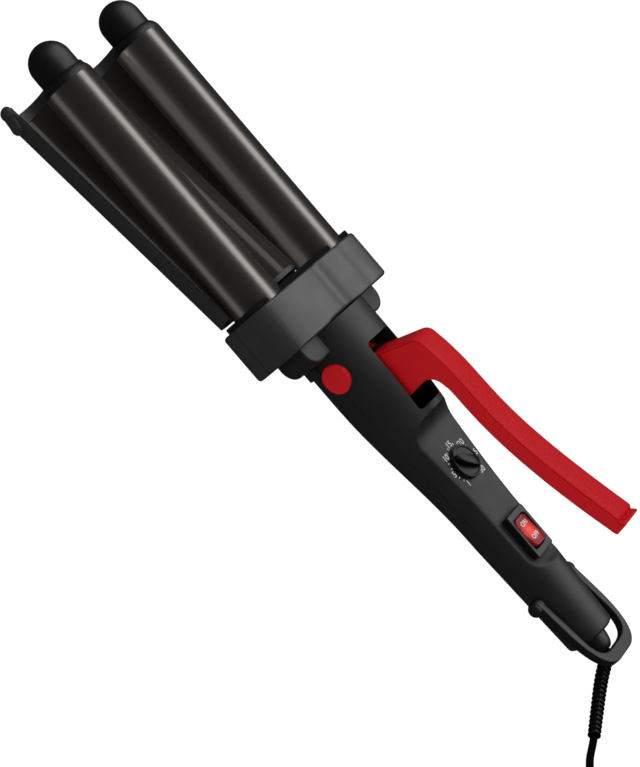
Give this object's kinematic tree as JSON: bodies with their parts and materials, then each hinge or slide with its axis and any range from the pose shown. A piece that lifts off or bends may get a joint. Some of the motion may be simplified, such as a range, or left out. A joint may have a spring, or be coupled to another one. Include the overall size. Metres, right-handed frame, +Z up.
{
  "type": "hair waver",
  "caption": "Hair waver: heated barrels over a hinged wave plate, squeezed shut by a hand lever, with dial, rocker switch, hanging loop and coiled cord.",
  "frame": {"origin": "centre of the waver's footprint without its cord, at the height of the surface it lies on", "axes": "+X along the handle towards the barrel tips, +Y to the left seen from behind the handle, +Z up"},
  "size_m": [0.4545, 0.176, 0.0753],
  "materials": {
    "shell_plastic": "fine matte charcoal",
    "black_plastic": "matte black",
    "dial_plastic": "gloss black",
    "ceramic_coat": "satin ceramic coat on aluminium",
    "red_plastic": "semi gloss red",
    "red_lens": "translucent red",
    "mica_plastic": "heat resistant moulding",
    "cast_aluminium": "as cast",
    "steel": "zinc plated",
    "board": "solder mask",
    "cord_rubber": "matte black flexible",
    "blade_brass": "nickel plated"
  },
  "bodies": {
    "body": {"handle_upper_shell": "shell_plastic", "handle_lower_shell": "shell_plastic", "collar_upper_shell": "shell_plastic", "collar_lower_shell": "shell_plastic", "heat_shield": "black_plastic", "barrel_left": "ceramic_coat", "barrel_right": "ceramic_coat", "barrel_tip_left": "black_plastic", "barrel_tip_right": "black_plastic", "barrel_mount_left": "mica_plastic", "barrel_mount_right": "mica_plastic", "barrel_heater_left": "cast_aluminium", "barrel_heater_right": "cast_aluminium", "heat_core_left": "cast_aluminium", "heat_core_right": "cast_aluminium", "mount_screws": "steel", "collar_screws": "steel", "handle_screws": "steel", "pivot_pin": "steel", "pivot_cap_left": "red_plastic", "pivot_cap_right": "red_plastic", "pivot_spacer": "mica_plastic", "hinge_spring": "steel", "circuit_board": "board", "dial_control": "dial_plastic", "switch_body": "black_plastic", "loop_pins": "black_plastic", "swivel_clip": "steel", "cord_clamp": "black_plastic", "strain_relief": "cord_rubber", "cord_lead": "cord_rubber", "cord_coil": "cord_rubber", "cord_tie": "cord_rubber", "cord_end": "cord_rubber", "plug_body": "cord_rubber", "plug_blades": "blade_brass"},
    "jaw": {"lever": "red_plastic", "jaw_arm": "cast_aluminium", "lever_screws": "steel", "wave_plate": "ceramic_coat", "plate_tray": "black_plastic", "plate_heater": "cast_aluminium", "tray_screws": "steel"},
    "dial": {"dial_knob": "dial_plastic", "dial_shaft": "steel"},
    "rocker": {"rocker": "red_lens"},
    "loop": {"hanging_loop": "black_plastic"},
    "swivel": {"swivel_nose": "black_plastic"}
  },
  "joints": [
    {"name": "jaw_hinge", "type": "hinge", "parent": "body", "child": "jaw", "pos_m": [-0.00851, 0, 0.02473], "axis": [0, -1, 0], "range_deg": [0, 7.2], "stiffness_Nm_per_rad": 1.5, "springref_deg": -28.65, "deforming": ["hinge_spring"]},
    {"name": "dial_turn", "type": "hinge", "parent": "body", "child": "dial", "pos_m": [-0.07503, 0, 0.02825], "axis": [-0.072, 0, 0.9974], "range_deg": [-189, 89]},
    {"name": "rocker_press", "type": "hinge", "parent": "body", "child": "rocker", "pos_m": [-0.11715, 0, 0.02702], "axis": [0, -1, 0], "range_deg": [0, 14]},
    {"name": "loop_swing", "type": "hinge", "parent": "body", "child": "loop", "pos_m": [-0.14449, 0, 0.01402], "axis": [0, 1, 0], "range_deg": [0, 60]},
    {"name": "swivel_spin", "type": "hinge", "parent": "body", "child": "swivel", "pos_m": [-0.17202, 0, 0.01203], "axis": [0.9974, 0, 0.072], "continuous": true}
  ]
}
